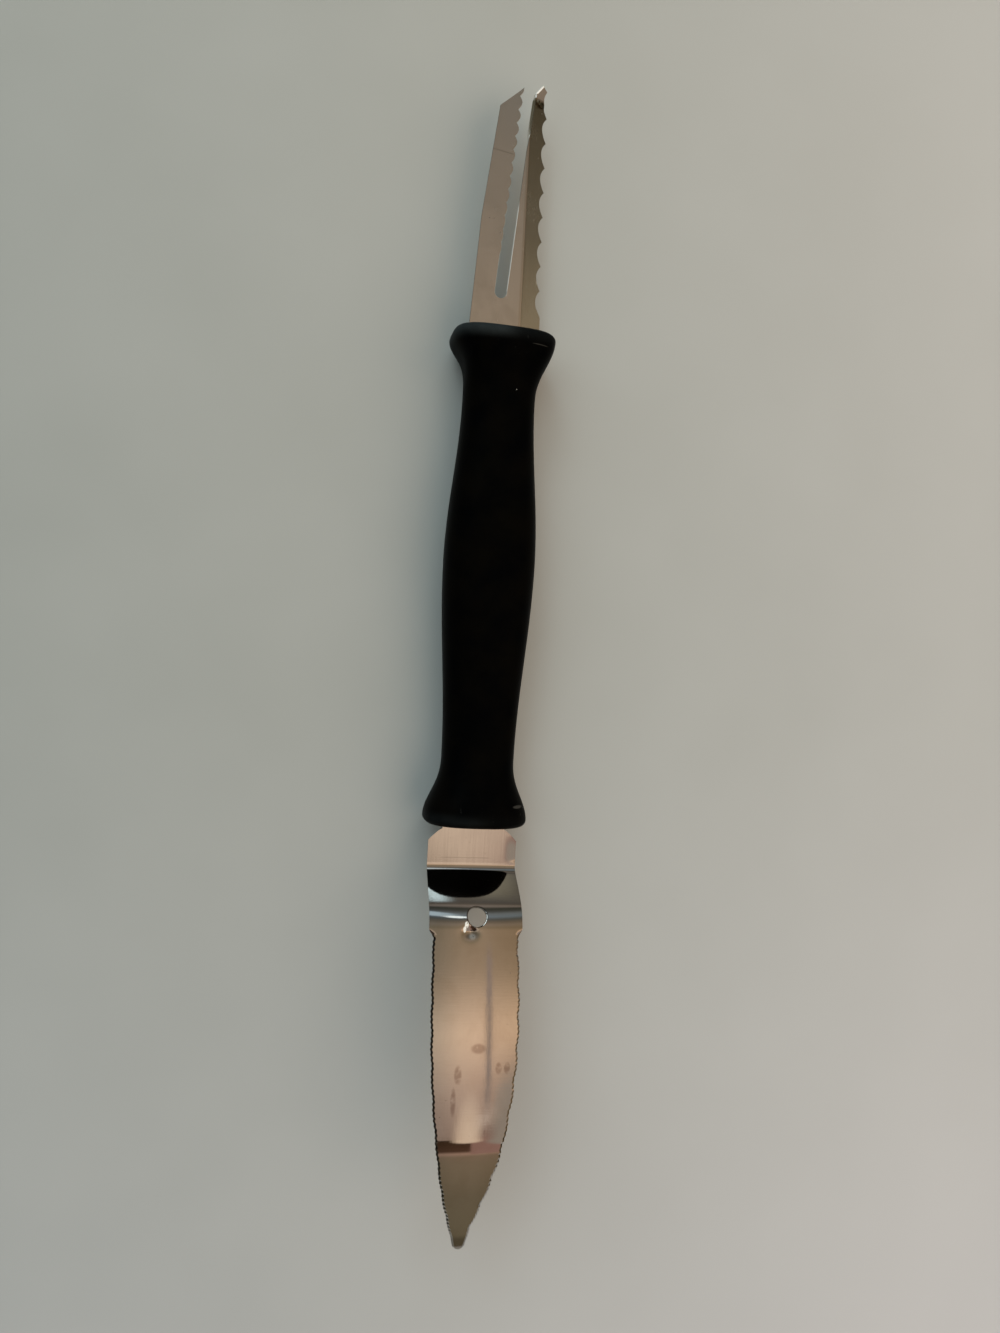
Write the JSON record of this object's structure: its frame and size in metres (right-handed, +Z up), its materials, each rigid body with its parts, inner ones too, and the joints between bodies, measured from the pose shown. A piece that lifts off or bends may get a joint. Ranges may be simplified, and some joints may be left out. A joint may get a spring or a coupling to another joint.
{
  "type": "grapefruit knife",
  "caption": "Double-ended fruit knife: a flared black handle with a raised, curled serrated blade at one end and a slotted twin blade with a folded toothed side at the other.",
  "frame": {"origin": "centre of the knife's footprint on the surface it lies on, at that surface", "axes": "+Y along the handle towards the twin blade, the curved blade points to -Y, +Z up out of the surface, +X to the folded toothed side"},
  "size_m": [0.0214, 0.2411, 0.0242],
  "materials": {
    "handle": "black satin moulding",
    "curved_blade": "polished stainless steel sheet",
    "twin_blade": "satin stainless steel sheet"
  },
  "bodies": {
    "root": {"handle": "handle", "curved_blade": "curved_blade", "twin_blade": "twin_blade"}
  },
  "joints": []
}
